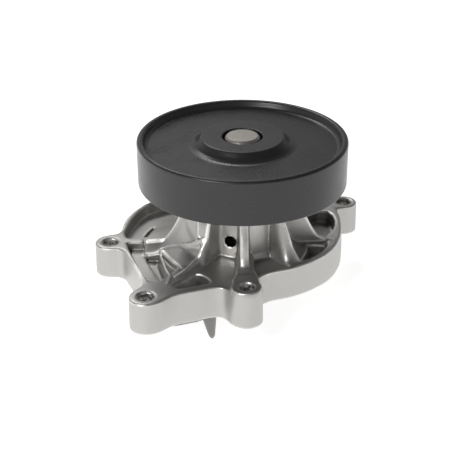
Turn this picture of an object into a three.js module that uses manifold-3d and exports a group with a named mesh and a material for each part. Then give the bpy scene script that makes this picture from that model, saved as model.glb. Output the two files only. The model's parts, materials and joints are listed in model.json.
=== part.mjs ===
// Automotive coolant pump: a belt pulley on an integral shaft bearing, a mechanical seal and an
// impeller, carried by a die-cast volute housing that bolts to the engine block by six ears.
// Millimetres, +Z up. The origin is where the shaft axis meets the housing's mounting face, and +Z
// runs along the shaft towards the pulley.
import * as THREE from "three";
import { mergeVertices } from "three/addons/utils/BufferGeometryUtils.js";
import Module from "manifold-3d";

const wasm = await Module();
wasm.setup();

// ---------------------------------------------------------------- driving dimensions
const GAP = 0.3; // clearance left wherever two pieces would touch

const RIM_Z = 19.6; // top of the flange wall above the mounting face
const PAD_Z = 22.4; // raised pad between the front rib and the front ear
const HUB_R = 20.8; // outside of the bearing hub
const HUB_TOP_Z = 73;
const RIB_W = 5.6; // thickness of the gusset ribs

const EYE_R = 36; // impeller chamber radius in the underside
const EYE_CEILING_Z = 15;
const SCROLL_CEILING_Z = 5.2; // the shallow scroll round the impeller chamber
const LAND = 6.5; // width of the mounting face round the scroll

const BOLT_HOLE_R = 4.35; // M8 clearance
const BOLT_CHAMFER = 0.9;
const WEEP_R = 3.3;
const WEEP_Z = 29.8;
const WEEP_AZIMUTH = -109.4;

const SHAFT_R = 10;
const SHAFT_BOTTOM_Z = 1.5;
const SHAFT_TOP_Z = 87.7;

const BEARING_R = 17.5;
const BEARING_BORE_R = 14.3;
const BEARING_BOTTOM_Z = 34.6;
const BEARING_TOP_Z = 73.6;
const BALL_R = 2.85;
const BALL_PITCH_R = 12.15;
const RACE_R = 3.12; // groove radius, a little larger than the ball
const BALLS_PER_ROW = 9;
const BALL_ROWS = { rear: 44, front: 64 }; // ball centre heights: rear is the impeller side

const PULLEY_R = 60;
const PULLEY_BOTTOM_Z = 60.3;
const PULLEY_TOP_Z = 86.5;
const PULLEY_WEB_Z = 82.4; // upper face of the web
const PULLEY_WEB_THICKNESS = 3.2;

const IMPELLER_R = 33;
const IMPELLER_PLATE_Z = [10.6, 13];
const IMPELLER_BLADE_Z = -2.5;
const IMPELLER_BLADES = 7;

// Ears: centre, boss radius and bolt seat height. The first four are at the front and the sides,
// the last two at the rear.
const EARS = [
  { x: -78, y: 0, r: 9.2, top: RIM_Z },
  { x: -52.5, y: -63.4, r: 9.7, top: RIM_Z },
  { x: 2.4, y: -56.5, r: 8.9, top: 22.2 },
  { x: 64, y: 55, r: 8.4, top: RIM_Z },
  { x: 21, y: 80.5, r: 8.9, top: RIM_Z },
  { x: -45, y: 71.5, r: 8.9, top: RIM_Z },
];

// Flange wall, counter-clockwise from the scroll's tongue: it opens like a snail shell, and the
// last stretch is the straight wall between the two left ears.
const WALL_PATH = [
  [16, -36.5],
  [27.5, -32],
  [39, -24.5],
  [51.3, -11.4],
  [58.4, 6],
  [60.6, 24],
  [58.5, 43],
  [46, 58.5],
  [28, 70],
  [5, 76.3],
  [-20, 75],
  [-42, 67],
  [-60.1, 53],
  [-70.9, 32],
  [-73, 14],
  [-71.2, -4],
  [-64, -24],
  [-57.5, -38],
  [-54, -52],
  [-47, -64],
  [-30, -59.2],
  [-15, -53.3],
  [2, -47],
];

// Gusset ribs: azimuth in degrees, and how far out the foot reaches.
const RIBS = [
  { azimuth: -88, foot: 40 },
  { azimuth: -36, foot: 40 },
  { azimuth: 4, foot: 50 },
  { azimuth: 44, foot: 62 },
  { azimuth: 84, foot: 66 },
  { azimuth: 124, foot: 68 },
  { azimuth: 178, foot: 56 },
  { azimuth: -133, foot: 56 },
];

// Pockets cored into the top of the flange: corner points and floor height.
const POCKETS = [
  { floor: 9, points: [[32, -19], [40, -17], [47, -9], [51.5, 0], [40, 0], [33, -4]] },
  { floor: 9, points: [[40, 6], [53.5, 9], [56, 22], [54, 36], [48, 40], [34, 28]] },
  { floor: 9, points: [[30, 36], [45, 51], [36, 60], [22, 66], [8, 70], [6, 44]] },
  { floor: 9, points: [[-1, 46], [1, 71], [-18, 70.5], [-35, 65], [-26, 42]] },
  {
    floor: 9.5,
    points: [[-32, 40], [-43, 60], [-57, 47], [-66, 30], [-69.5, 12], [-65, 4], [-44, 4]],
  },
  { floor: 14.6, points: [[-67, -2.5], [-58, -2.5], [-46.5, -40], [-50, -46], [-54, -42]] },
  { floor: 13, points: [[-55.5, -2.5], [-38, -2.5], [-34, -10], [-47, -14], [-41, -40], [-44, -41]] },
  { floor: 9.5, points: [[-38, -46], [-25, -39], [-18, -42], [-17, -49], [-36, -56]] },
];

// ---------------------------------------------------------------- solids
const rad = THREE.MathUtils.degToRad;

function solidOf(geometry) {
  const bare = geometry.clone();
  bare.deleteAttribute("normal");
  bare.deleteAttribute("uv");
  const merged = mergeVertices(bare, 1e-4);
  const index = merged.index.array;
  const triangles = [];
  for (let i = 0; i < index.length; i += 3) {
    const [a, b, c] = [index[i], index[i + 1], index[i + 2]];
    if (a !== b && b !== c && a !== c) {
      triangles.push(a, b, c);
    }
  }
  return new wasm.Manifold(
    new wasm.Mesh({
      numProp: 3,
      vertProperties: merged.attributes.position.array,
      triVerts: new Uint32Array(triangles),
    }),
  );
}

function geometryOf(solid) {
  const mesh = solid.getMesh();
  const geometry = new THREE.BufferGeometry();
  geometry.setAttribute("position", new THREE.BufferAttribute(mesh.vertProperties, 3));
  geometry.setIndex(new THREE.BufferAttribute(mesh.triVerts, 1));
  geometry.computeVertexNormals();
  return geometry;
}

function union(solids) {
  return solids.reduce((whole, next) => whole.add(next));
}

function cut(solid, tools) {
  return tools.reduce((whole, tool) => whole.subtract(tool), solid);
}

// A turned ring: the profile is a closed loop of [radius, height] corners, anticlockwise.
function turned(corners, segments = 30) {
  const points = [...corners, corners[0]].map(([r, z]) => new THREE.Vector2(r, z));
  return new THREE.LatheGeometry(points, segments).rotateX(Math.PI / 2);
}

function ring(inner, outer, bottom, top, segments = 30) {
  return turned([[inner, bottom], [outer, bottom], [outer, top], [inner, top]], segments);
}

// A plain round bar along Z.
function bar(r, bottom, top, segments = 28) {
  return new THREE.CylinderGeometry(r, r, top - bottom, segments)
    .rotateX(Math.PI / 2)
    .translate(0, 0, (top + bottom) / 2);
}

// A flat outline raised between two heights.
function prism(points, bottom, top) {
  const shape = new THREE.Shape(points.map(([x, y]) => new THREE.Vector2(x, y)));
  return new THREE.ExtrudeGeometry(shape, { depth: top - bottom, bevelEnabled: false }).translate(
    0,
    0,
    bottom,
  );
}

function smoothLoop(points, count) {
  const curve = new THREE.CatmullRomCurve3(
    points.map(([x, y]) => new THREE.Vector3(x, y, 0)),
    true,
    "centripetal",
  );
  return curve.getPoints(count).slice(0, count).map((p) => [p.x, p.y]);
}

// The same loop with each point moved a distance towards the shaft axis.
function inset(loop, distance) {
  return loop.map(([x, y]) => {
    const scale = 1 - distance / Math.hypot(x, y);
    return [x * scale, y * scale];
  });
}

// ---------------------------------------------------------------- housing
const wallLoop = smoothLoop(WALL_PATH, 72);

// Distance from the shaft axis to the flange wall in one direction.
function wallRadius(azimuth) {
  const off = ([x, y]) => Math.abs(Math.sin((Math.atan2(y, x) - azimuth) / 2));
  return Math.hypot(...wallLoop.reduce((best, p) => (off(p) < off(best) ? p : best)));
}

function nearestOnWall(x, y) {
  const distance = ([a, b]) => Math.hypot(a - x, b - y);
  return wallLoop.reduce((best, p, i) => (distance(p) < distance(wallLoop[best]) ? i : best), 0);
}

// An ear is a round boss, with a web that fairs it into the flange wall.
function ear({ x, y, r, top }) {
  const boss = solidOf(bar(r, 0, top).translate(x, y, 0));
  const here = nearestOnWall(x, y);
  const reach = 3;
  const a = wallLoop[(here + wallLoop.length - reach) % wallLoop.length];
  const b = wallLoop[(here + reach) % wallLoop.length];
  const along = new THREE.Vector2(b[0] - a[0], b[1] - a[1]).normalize();
  const side = 0.86 * r;
  const inward = 0.75; // the web's root lies inside the flange
  const web = [
    a,
    [x - along.x * side, y - along.y * side],
    [x + along.x * side, y + along.y * side],
    b,
    [(inward * (a[0] + b[0])) / 2, (inward * (a[1] + b[1])) / 2],
  ];
  const ordered = THREE.ShapeUtils.isClockWise(web.map(([u, v]) => new THREE.Vector2(u, v)))
    ? web.slice().reverse()
    : web;
  return boss.add(solidOf(prism(ordered, 0, RIM_Z)));
}

function boltHole({ x, y, top }) {
  const over = 2;
  const wide = BOLT_HOLE_R + BOLT_CHAMFER;
  const profile = [
    [0, -over],
    [wide + over, -over],
    [BOLT_HOLE_R, BOLT_CHAMFER],
    [BOLT_HOLE_R, top - BOLT_CHAMFER],
    [wide + over, top + over],
    [0, top + over],
  ];
  const points = profile.map(([r, z]) => new THREE.Vector2(r, z));
  return solidOf(new THREE.LatheGeometry(points, 16).rotateX(Math.PI / 2).translate(x, y, 0));
}

// A gusset rib stands against the hub: steep above, sweeping out into a flared foot at the rim.
function gusset({ azimuth, foot }) {
  const reach = foot - 40;
  const base = 6;
  const profile = [
    [15, base],
    [foot + 1, base],
    [foot + 1, RIM_Z],
    [37.5 + 0.6 * reach, RIM_Z + 3.4],
    [34.8 + 0.5 * reach, RIM_Z + 10],
    [32 + 0.4 * reach, RIM_Z + 18],
    [27.5 + 0.2 * reach, RIM_Z + 30],
    [22.5, HUB_TOP_Z - 8],
    [15, HUB_TOP_Z - 8],
  ];
  const shape = new THREE.Shape(profile.map(([r, z]) => new THREE.Vector2(r, z)));
  const plate = new THREE.ExtrudeGeometry(shape, { depth: RIB_W, bevelEnabled: false });
  plate.rotateX(Math.PI / 2);
  plate.translate(0, RIB_W / 2, 0);
  plate.rotateZ(rad(azimuth));
  return solidOf(plate);
}

// The skirt that joins the hub to the pocket floors. It reaches further where the flange is wider,
// and is left out over the flat front.
function skirt() {
  const widest = 78;
  const profile = [
    [0, 7],
    [58, 7],
    [54, 9.6],
    [46, 13.2],
    [40, 18.4],
    [35, 25.5],
    [30, 34.5],
    [25, 45],
    [HUB_R, 56],
    [0, 56],
  ];
  const points = profile.map(([r, z]) => new THREE.Vector2(r, z));
  const cone = new THREE.LatheGeometry(points, 40).rotateX(Math.PI / 2);
  const position = cone.getAttribute("position");
  for (let i = 0; i < position.count; i += 1) {
    const [x, y] = [position.getX(i), position.getY(i)];
    const r = Math.hypot(x, y);
    if (r > HUB_R) {
      const share = (wallRadius(Math.atan2(y, x)) - HUB_R) / (widest - HUB_R);
      const scale = (HUB_R + (r - HUB_R) * share) / r;
      position.setXY(i, x * scale, y * scale);
    }
  }
  const front = [[0, 0]];
  for (const azimuth of [-133, -112, -88, -62, -36]) {
    front.push([70 * Math.cos(rad(azimuth)), 70 * Math.sin(rad(azimuth))]);
  }
  return solidOf(cone).subtract(solidOf(prism(front, RIM_Z, HUB_TOP_Z)));
}

// Everything cored or bored along the shaft axis, from the impeller chamber to the hub's top.
function axialBores() {
  const profile = [
    [0, -5],
    [EYE_R, -5],
    [EYE_R, EYE_CEILING_Z],
    [17, EYE_CEILING_Z],
    [17, 25.5],
    [15, 25.5],
    [15, BEARING_BOTTOM_Z - GAP],
    [BEARING_R + GAP, BEARING_BOTTOM_Z - GAP],
    [BEARING_R + GAP, HUB_TOP_Z + 5],
    [0, HUB_TOP_Z + 5],
  ];
  const points = profile.map(([r, z]) => new THREE.Vector2(r, z));
  return solidOf(new THREE.LatheGeometry(points, 40).rotateX(Math.PI / 2));
}

// The cast tongue that reaches into the engine block under the front wall, on a short raised land.
function cutwater() {
  const tongue = [[-24, 2], [-14.1, 2], [-15.3, -15], [-16.2, -16.5], [-17.6, -16.7], [-18.8, -15.2]];
  const shape = new THREE.Shape(tongue.map(([x, z]) => new THREE.Vector2(x, z)));
  const plate = new THREE.ExtrudeGeometry(shape, { depth: 3.6, bevelEnabled: false });
  plate.rotateX(Math.PI / 2);
  plate.translate(0, -46.5, 0);
  const land = [[-43, -62.3], [-24, -54.8], [-20, -52.6], [-20, -47], [-43, -57]];
  return solidOf(plate).add(solidOf(prism(land, -1.6, 2)));
}

function housing() {
  const scroll = inset(wallLoop, LAND);
  const flange = union([solidOf(prism(wallLoop, 0, RIM_Z)), ...EARS.map(ear)]);
  const pockets = POCKETS.map(({ floor, points }) =>
    solidOf(prism(smoothPocket(points), floor, RIM_Z + 10)),
  );
  const frontPad = solidOf(prism([[-3.4, -24], [-3.4, -50], [8, -50], [5.8, -24]], 15, PAD_Z));
  const hub = solidOf(bar(HUB_R, 8, HUB_TOP_Z, 40));
  const inside = solidOf(prism(wallLoop, -1, HUB_TOP_Z));
  const ribbed = union([skirt(), ...RIBS.map(gusset)]).intersect(inside);
  const whole = union([cut(flange, pockets), frontPad, hub, ribbed]);
  const weep = solidOf(
    new THREE.CylinderGeometry(WEEP_R, WEEP_R, 20, 16)
      .rotateZ(Math.PI / 2)
      .translate(22, 0, WEEP_Z)
      .rotateZ(rad(WEEP_AZIMUTH)),
  );
  const scrollCut = solidOf(prism(scroll, -5, SCROLL_CEILING_Z));
  const bored = cut(whole, [axialBores(), scrollCut, weep, ...EARS.map(boltHole)]);
  return geometryOf(bored.add(cutwater()));
}

// A pocket's corners are rounded by running a closed curve through points beside each corner.
function smoothPocket(points) {
  const loop = [];
  points.forEach(([x, y], i) => {
    const [px, py] = points[(i + points.length - 1) % points.length];
    const [nx, ny] = points[(i + 1) % points.length];
    const back = Math.min(0.35, 2.5 / Math.hypot(px - x, py - y));
    const on = Math.min(0.35, 2.5 / Math.hypot(nx - x, ny - y));
    const start = [x + (px - x) * back, y + (py - y) * back];
    const end = [x + (nx - x) * on, y + (ny - y) * on];
    const middle = [(start[0] + end[0] + 2 * x) / 4, (start[1] + end[1] + 2 * y) / 4];
    loop.push(start, middle, end);
  });
  return loop;
}

// ---------------------------------------------------------------- rotating pieces
function pulley() {
  const rimInner = PULLEY_R - 4;
  const underside = PULLEY_WEB_Z - PULLEY_WEB_THICKNESS;
  const boreR = SHAFT_R + GAP;
  const profile = [
    [boreR, BEARING_TOP_Z + 1],
    [17, BEARING_TOP_Z + 1],
    [20.5, underside],
    [rimInner - 3, underside],
    [rimInner, underside - 4],
    [rimInner, PULLEY_BOTTOM_Z],
    [PULLEY_R - 1.2, PULLEY_BOTTOM_Z],
    [PULLEY_R, PULLEY_BOTTOM_Z + 1.2],
    [PULLEY_R, PULLEY_TOP_Z - 0.8],
    [PULLEY_R - 0.8, PULLEY_TOP_Z],
    [rimInner + 1.2, PULLEY_TOP_Z],
    [rimInner, PULLEY_TOP_Z - 1.2],
    [rimInner - 1.4, PULLEY_WEB_Z],
    [28.6, PULLEY_WEB_Z],
    [26.2, PULLEY_WEB_Z + 0.9],
    [24.2, PULLEY_TOP_Z - 0.2],
    [23.2, PULLEY_TOP_Z + 0.8],
    [11.6, PULLEY_TOP_Z + 0.8],
    [11.4, PULLEY_TOP_Z - 2],
    [boreR, PULLEY_TOP_Z - 3.1],
  ];
  return turned(profile, 52);
}

// Points of a race groove's arc, from its lower lip to its upper lip; side is -1 for a groove cut
// into a shaft and +1 for one cut into a bore.
function race(centreZ, side, landR) {
  const points = [];
  const half = Math.acos(Math.abs(landR - BALL_PITCH_R) / RACE_R);
  const steps = 4;
  for (let i = 0; i <= steps; i += 1) {
    const a = -half + (2 * half * i) / steps;
    points.push([BALL_PITCH_R + side * RACE_R * Math.cos(a), centreZ + RACE_R * Math.sin(a)]);
  }
  return points;
}

function shaft() {
  const chamfer = 1;
  const profile = [
    [0, SHAFT_BOTTOM_Z],
    [SHAFT_R - chamfer, SHAFT_BOTTOM_Z],
    [SHAFT_R, SHAFT_BOTTOM_Z + chamfer],
    ...race(BALL_ROWS.rear, -1, SHAFT_R),
    ...race(BALL_ROWS.front, -1, SHAFT_R),
    [SHAFT_R, SHAFT_TOP_Z - chamfer],
    [SHAFT_R - chamfer, SHAFT_TOP_Z],
    [0, SHAFT_TOP_Z],
  ];
  const points = profile.map(([r, z]) => new THREE.Vector2(r, z));
  return new THREE.LatheGeometry(points, 36).rotateX(Math.PI / 2);
}

function impeller() {
  const [plateLow, plateTop] = IMPELLER_PLATE_Z;
  const boreR = SHAFT_R + GAP;
  const hubR = 13.6;
  const plate = solidOf(
    turned([
      [boreR, 2],
      [hubR, 2],
      [hubR + 1, plateLow],
      [IMPELLER_R, plateLow + 0.6],
      [IMPELLER_R, plateTop],
      [boreR, plateTop],
    ]),
  );
  const blades = [];
  for (let i = 0; i < IMPELLER_BLADES; i += 1) {
    const turn = (360 * i) / IMPELLER_BLADES;
    const blade = prism(bladeOutline(hubR - 0.6, IMPELLER_R - 0.5), IMPELLER_BLADE_Z, plateLow + 1);
    blades.push(solidOf(blade.rotateZ(rad(turn))));
  }
  return geometryOf(union([plate, ...blades]));
}

// A backward-swept blade in plan: both faces follow a spiral that trails behind its root.
function bladeOutline(rootR, tipR) {
  const sweep = 48; // degrees from root to tip
  const thickness = 2.6;
  const steps = 6;
  const faces = [[], []];
  for (let i = 0; i <= steps; i += 1) {
    const r = rootR + ((tipR - rootR) * i) / steps;
    const a = rad(sweep * (i / steps));
    const half = Math.asin(thickness / 2 / r);
    faces[0].push([r * Math.cos(a - half), r * Math.sin(a - half)]);
    faces[1].unshift([r * Math.cos(a + half), r * Math.sin(a + half)]);
  }
  return [...faces[0], ...faces[1]];
}

// ---------------------------------------------------------------- bearing
function bearingRing() {
  const profile = [
    [BEARING_BORE_R, BEARING_BOTTOM_Z],
    [BEARING_R, BEARING_BOTTOM_Z],
    [BEARING_R, BEARING_TOP_Z],
    [BEARING_BORE_R, BEARING_TOP_Z],
    ...race(BALL_ROWS.front, 1, BEARING_BORE_R).reverse(),
    ...race(BALL_ROWS.rear, 1, BEARING_BORE_R).reverse(),
  ];
  return turned(profile, 40);
}

function ballCentre(row, i) {
  const a = (2 * Math.PI * i) / BALLS_PER_ROW;
  return new THREE.Vector3(BALL_PITCH_R * Math.cos(a), BALL_PITCH_R * Math.sin(a), BALL_ROWS[row]);
}

function ball() {
  return new THREE.IcosahedronGeometry(BALL_R, 1);
}

// A crown cage: a ring beside the ball row, with an open socket round each ball.
function cage(row, side) {
  const z = BALL_ROWS[row];
  const low = z - (side > 0 ? 1.3 : 4.4);
  const high = z + (side > 0 ? 4.4 : 1.3);
  const sockets = [];
  for (let i = 0; i < BALLS_PER_ROW; i += 1) {
    const c = ballCentre(row, i);
    sockets.push(solidOf(new THREE.SphereGeometry(BALL_R + GAP, 10, 6).translate(c.x, c.y, c.z)));
  }
  return geometryOf(cut(solidOf(ring(10.9, 13.4, low, high, 36)), sockets));
}

// A bearing lip seal: a stiffened rubber disc with a raised lip round the shaft.
function lipSeal(z, up) {
  const profile = [
    [SHAFT_R + GAP, z],
    [BEARING_BORE_R - GAP, z],
    [BEARING_BORE_R - GAP, z + 2],
    [12.2, z + 2],
    [11.6, z + 1.2],
    [10.9, z + 1.2],
    [SHAFT_R + GAP, z + 1.9],
  ];
  const placed = up ? profile : profile.map(([r, h]) => [r, 2 * z + 2 - h]).reverse();
  return turned(placed);
}

// ---------------------------------------------------------------- mechanical seal
function sealCase() {
  const outer = 17 - GAP;
  return turned([
    [11.2, 24.4],
    [outer - 0.8, 24.4],
    [outer - 0.8, 15.9],
    [outer, 15.9],
    [outer, 25.2],
    [11.2, 25.2],
  ]);
}

function sealBellows() {
  return turned([
    [11.3, 20.4],
    [12.8, 20.4],
    [13.6, 21.2],
    [12.8, 22],
    [13.6, 22.8],
    [12.9, 23.6],
    [12.9, 24.1],
    [11.3, 24.1],
  ]);
}

function carbonFace() {
  return turned([[11.4, 17.6], [12.6, 17.6], [12.8, 18.2], [13.6, 18.6], [13.6, 20], [11.4, 20]]);
}

class Helix extends THREE.Curve {
  constructor(r, low, high, turns) {
    super();
    Object.assign(this, { r, low, high, turns });
  }
  getPoint(t, target = new THREE.Vector3()) {
    const a = 2 * Math.PI * this.turns * t;
    const z = this.low + (this.high - this.low) * t;
    return target.set(this.r * Math.cos(a), this.r * Math.sin(a), z);
  }
}

function sealSpring() {
  const wire = new THREE.Shape();
  wire.absarc(0, 0, 0.42, 0, 2 * Math.PI, false);
  return new THREE.ExtrudeGeometry(wire, {
    curveSegments: 3,
    steps: 54,
    bevelEnabled: false,
    extrudePath: new Helix(14.75, 18.2, 23.5, 3.4),
  });
}

function matingRing() {
  return ring(11.7, 15.6, 14.9, 17.1);
}

function seatCup() {
  return turned([
    [SHAFT_R + GAP, 13.4],
    [16, 13.4],
    [16, 14.5],
    [11.3, 14.5],
    [11.3, 17.2],
    [SHAFT_R + 0.9, 17.2],
    [SHAFT_R + 0.9, 23.6],
    [SHAFT_R + GAP, 23.6],
  ]);
}

// ---------------------------------------------------------------- finishes and assembly
function finish(color, roughness, metalness) {
  return new THREE.MeshStandardMaterial({ color, roughness, metalness });
}

const castAluminium = finish(0xb4b2ae, 0.45, 0.9);
const blackCoating = finish(0x2f2f31, 0.5, 0.3);
const bearingSteel = finish(0xc9cbce, 0.25, 1);
const shaftSteel = finish(0xb9babb, 0.35, 1);
const nylonCage = finish(0xd8cdb0, 0.6, 0);
const nitrileRubber = finish(0x26221f, 0.8, 0);
const carbon = finish(0x1c1c1e, 0.5, 0.1);
const ceramic = finish(0xe9e6dd, 0.25, 0);
const stampedSteel = finish(0xa9abad, 0.35, 1);
const springSteel = finish(0x9a9da1, 0.3, 1);
const impellerSteel = finish(0x8d9093, 0.45, 0.9);

const pump = new THREE.Group();

function place(name, geometry, material) {
  const mesh = new THREE.Mesh(geometry, material);
  mesh.name = name;
  pump.add(mesh);
  return mesh;
}

place("pump_housing", housing(), castAluminium);
place("pulley", pulley(), blackCoating);
place("pump_shaft", shaft(), shaftSteel);
place("impeller", impeller(), impellerSteel);

place("bearing_outer_ring", bearingRing(), bearingSteel);
place("bearing_seal_front", lipSeal(BEARING_TOP_Z - 2.6, true), nitrileRubber);
place("bearing_seal_rear", lipSeal(BEARING_BOTTOM_Z + 0.6, false), nitrileRubber);
place("ball_cage_front", cage("front", 1), nylonCage);
place("ball_cage_rear", cage("rear", -1), nylonCage);
for (const row of ["front", "rear"]) {
  for (let i = 0; i < BALLS_PER_ROW; i += 1) {
    place(`ball_${row}_${i + 1}`, ball(), bearingSteel).position.copy(ballCentre(row, i));
  }
}

place("seal_case", sealCase(), stampedSteel);
place("seal_spring", sealSpring(), springSteel);
place("seal_bellows", sealBellows(), nitrileRubber);
place("seal_carbon_face", carbonFace(), carbon);
place("seal_mating_ring", matingRing(), ceramic);
place("seal_seat_cup", seatCup(), stampedSteel);

export default pump;
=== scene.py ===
"""Belt-driven coolant pump: the visible model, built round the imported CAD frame.

Modelling is done in millimetres in the row frame and scaled to metres when a mesh is made. The
casting is a distance field (solid where the value is below zero) whose surface is then meshed.
Everything else is turned, swept or cut in mesh code.
"""

import json
import math

import bmesh
import bpy
import numpy as np
from mathutils import Matrix, Vector


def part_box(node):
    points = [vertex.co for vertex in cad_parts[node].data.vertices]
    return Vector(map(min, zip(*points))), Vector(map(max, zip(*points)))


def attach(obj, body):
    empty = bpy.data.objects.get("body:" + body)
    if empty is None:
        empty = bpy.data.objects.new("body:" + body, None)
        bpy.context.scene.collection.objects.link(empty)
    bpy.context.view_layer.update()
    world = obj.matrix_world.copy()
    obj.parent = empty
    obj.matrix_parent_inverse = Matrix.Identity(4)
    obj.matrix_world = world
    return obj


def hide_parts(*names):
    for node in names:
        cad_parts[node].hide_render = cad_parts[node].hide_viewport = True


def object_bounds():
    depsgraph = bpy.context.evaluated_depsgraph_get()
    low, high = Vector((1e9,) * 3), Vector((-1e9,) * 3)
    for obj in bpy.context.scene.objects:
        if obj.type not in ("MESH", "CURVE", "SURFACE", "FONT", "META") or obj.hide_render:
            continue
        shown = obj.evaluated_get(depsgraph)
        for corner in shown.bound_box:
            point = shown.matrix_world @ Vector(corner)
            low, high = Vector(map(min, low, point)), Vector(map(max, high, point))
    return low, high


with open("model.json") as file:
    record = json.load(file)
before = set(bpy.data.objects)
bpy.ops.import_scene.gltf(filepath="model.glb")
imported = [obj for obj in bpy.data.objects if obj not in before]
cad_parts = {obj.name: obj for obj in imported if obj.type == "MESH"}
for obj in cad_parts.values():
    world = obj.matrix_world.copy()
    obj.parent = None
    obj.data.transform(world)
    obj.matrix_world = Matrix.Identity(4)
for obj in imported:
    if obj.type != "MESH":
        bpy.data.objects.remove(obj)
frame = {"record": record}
CAD_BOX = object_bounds()
MM = 0.001


def cad_box(node):
    """Lowest and highest corner of a CAD node in millimetres."""
    low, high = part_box(node)
    return np.array(low) / MM, np.array(high) / MM


def named(entries, name):
    return next(entry for entry in entries if entry["name"] == name)


def opening(name):
    return np.array(named(frame["record"]["physics"]["openings"], name)["box_m"]) / MM


def seat_height(name):
    return named(frame["record"]["mounts"], name)["pos_m"][2] / MM


# ---- shapes as distance fields
FAR = 40.0
EVERYWHERE = (-1e3,) * 3, (1e3,) * 3
HOUSING_GRID, IMPELLER_GRID, CAGE_GRID = 0.8, 0.55, 0.3


def blend_min(a, b, k):
    """Union of two fields with a concave fillet about k wide."""
    h = np.maximum(k - np.abs(a - b), 0)
    return np.minimum(a, b) - h * h / (4 * k)


def blend_max(a, b, k):
    """Intersection of two fields with a rounded edge about k wide."""
    return -blend_min(-a, -b, k)


class Casting:
    """A block of space sampled on a grid. Shapes are functions of x, y and z that give a distance."""

    def __init__(self, low, high, pitch):
        self.axes = [np.arange(a, b + pitch, pitch, dtype=np.float32) for a, b in zip(low, high)]
        self.value = np.full([len(a) for a in self.axes], FAR, np.float32)

    def part(self, low, high):
        cut = tuple(slice(*np.searchsorted(a, (l, h))) for a, l, h in zip(self.axes, low, high))
        x, y, z = (a[c] for a, c in zip(self.axes, cut))
        return cut, x[:, None, None], y[None, :, None], z[None, None, :]

    def add(self, shape, low, high, fillet=1.0):
        cut, x, y, z = self.part(low, high)
        self.value[cut] = blend_min(self.value[cut], shape(x, y, z), fillet)

    def carve(self, shape, low, high, fillet=1.0):
        cut, x, y, z = self.part(low, high)
        self.value[cut] = blend_max(self.value[cut], -shape(x, y, z), fillet)


def path_distance(x, y, points):
    """Distance in plan to an open path."""
    best = np.full(np.broadcast(x, y).shape, 1e9, np.float32)
    for (ax, ay), (bx, by) in zip(points, points[1:]):
        ex, ey = bx - ax, by - ay
        t = np.clip(((x - ax) * ex + (y - ay) * ey) / (ex * ex + ey * ey), 0, 1)
        best = np.minimum(best, (x - ax - t * ex) ** 2 + (y - ay - t * ey) ** 2)
    return np.sqrt(best)


def shaped(field):
    """Lets a field take its settings first, and gives the function of x, y and z that they fix."""
    return lambda *given, **more: lambda x, y, z: field(x, y, z, *given, **more)


def loop_distance(x, y, loop):
    """Distance in plan to a closed loop of corners, negative inside."""
    inside = np.zeros(np.broadcast(x, y).shape, bool)
    for (ax, ay), (bx, by) in zip(loop, loop[1:] + loop[:1]):
        if ay != by:
            inside ^= ((ay > y) != (by > y)) & (x < (bx - ax) * (y - ay) / (by - ay) + ax)
    return np.where(inside, -1, 1) * path_distance(x, y, loop + loop[:1])


def spline(points, steps=4, closed=False):
    """Centripetal Catmull-Rom curve through the points."""
    n = len(points)
    at = [np.array(p, float) for p in points]
    out = []
    for i in range(n if closed else n - 1):
        p1, p2 = at[i], at[(i + 1) % n]
        p0 = at[i - 1] if closed or i else 2 * p1 - p2
        p3 = at[(i + 2) % n] if closed or i < n - 2 else 2 * p2 - p1
        d0, d1, d2 = (math.sqrt(np.linalg.norm(b - a)) for a, b in ((p0, p1), (p1, p2), (p2, p3)))
        m1 = ((p1 - p0) / d0 - (p2 - p0) / (d0 + d1) + (p2 - p1) / d1) * d1
        m2 = ((p2 - p1) / d1 - (p3 - p1) / (d1 + d2) + (p3 - p2) / d2) * d1
        for s in range(steps):
            t = s / steps
            square = (-3 * p1 + 3 * p2 - 2 * m1 - m2) * t**2
            cube = (2 * p1 - 2 * p2 + m1 + m2) * t**3
            out.append(tuple(p1 + m1 * t + square + cube))
    return out if closed else out + [tuple(at[-1])]


def rounded(points, radius, steps=4):
    """A closed loop of corners with each corner replaced by a curve."""
    out = []
    for i, corner in enumerate(points):
        c = np.array(corner, float)
        before, after = (np.array(points[j % len(points)], float) for j in (i - 1, i + 1))
        start = c + (before - c) * min(0.45, radius / np.linalg.norm(before - c))
        end = c + (after - c) * min(0.45, radius / np.linalg.norm(after - c))
        for s in range(steps + 1):
            t = s / steps
            out.append(tuple((1 - t) ** 2 * start + 2 * t * (1 - t) * c + t * t * end))
    return out


@shaped
def block(x, y, z, points, low, high, edge, corner):
    """A raised outline between two heights."""
    loop = rounded(points, corner)
    plan = loop_distance(x, y, loop)
    return blend_max(blend_max(plan, z - high, edge), low - z, 0.4)


@shaped
def pocket(x, y, z, points, floor, corner, draft=0.06, root=2.0):
    """A blind pocket open at the top, with drafted sides and a filleted floor."""
    loop = rounded(points, corner)
    side = loop_distance(x, y, loop) - draft * (z - RIM_Z)
    return blend_max(side, floor - z, root)


def extent(points, low, high, margin=4):
    xs, ys = zip(*points)
    return (min(xs) - margin, min(ys) - margin, low), (max(xs) + margin, max(ys) + margin, high)


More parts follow.
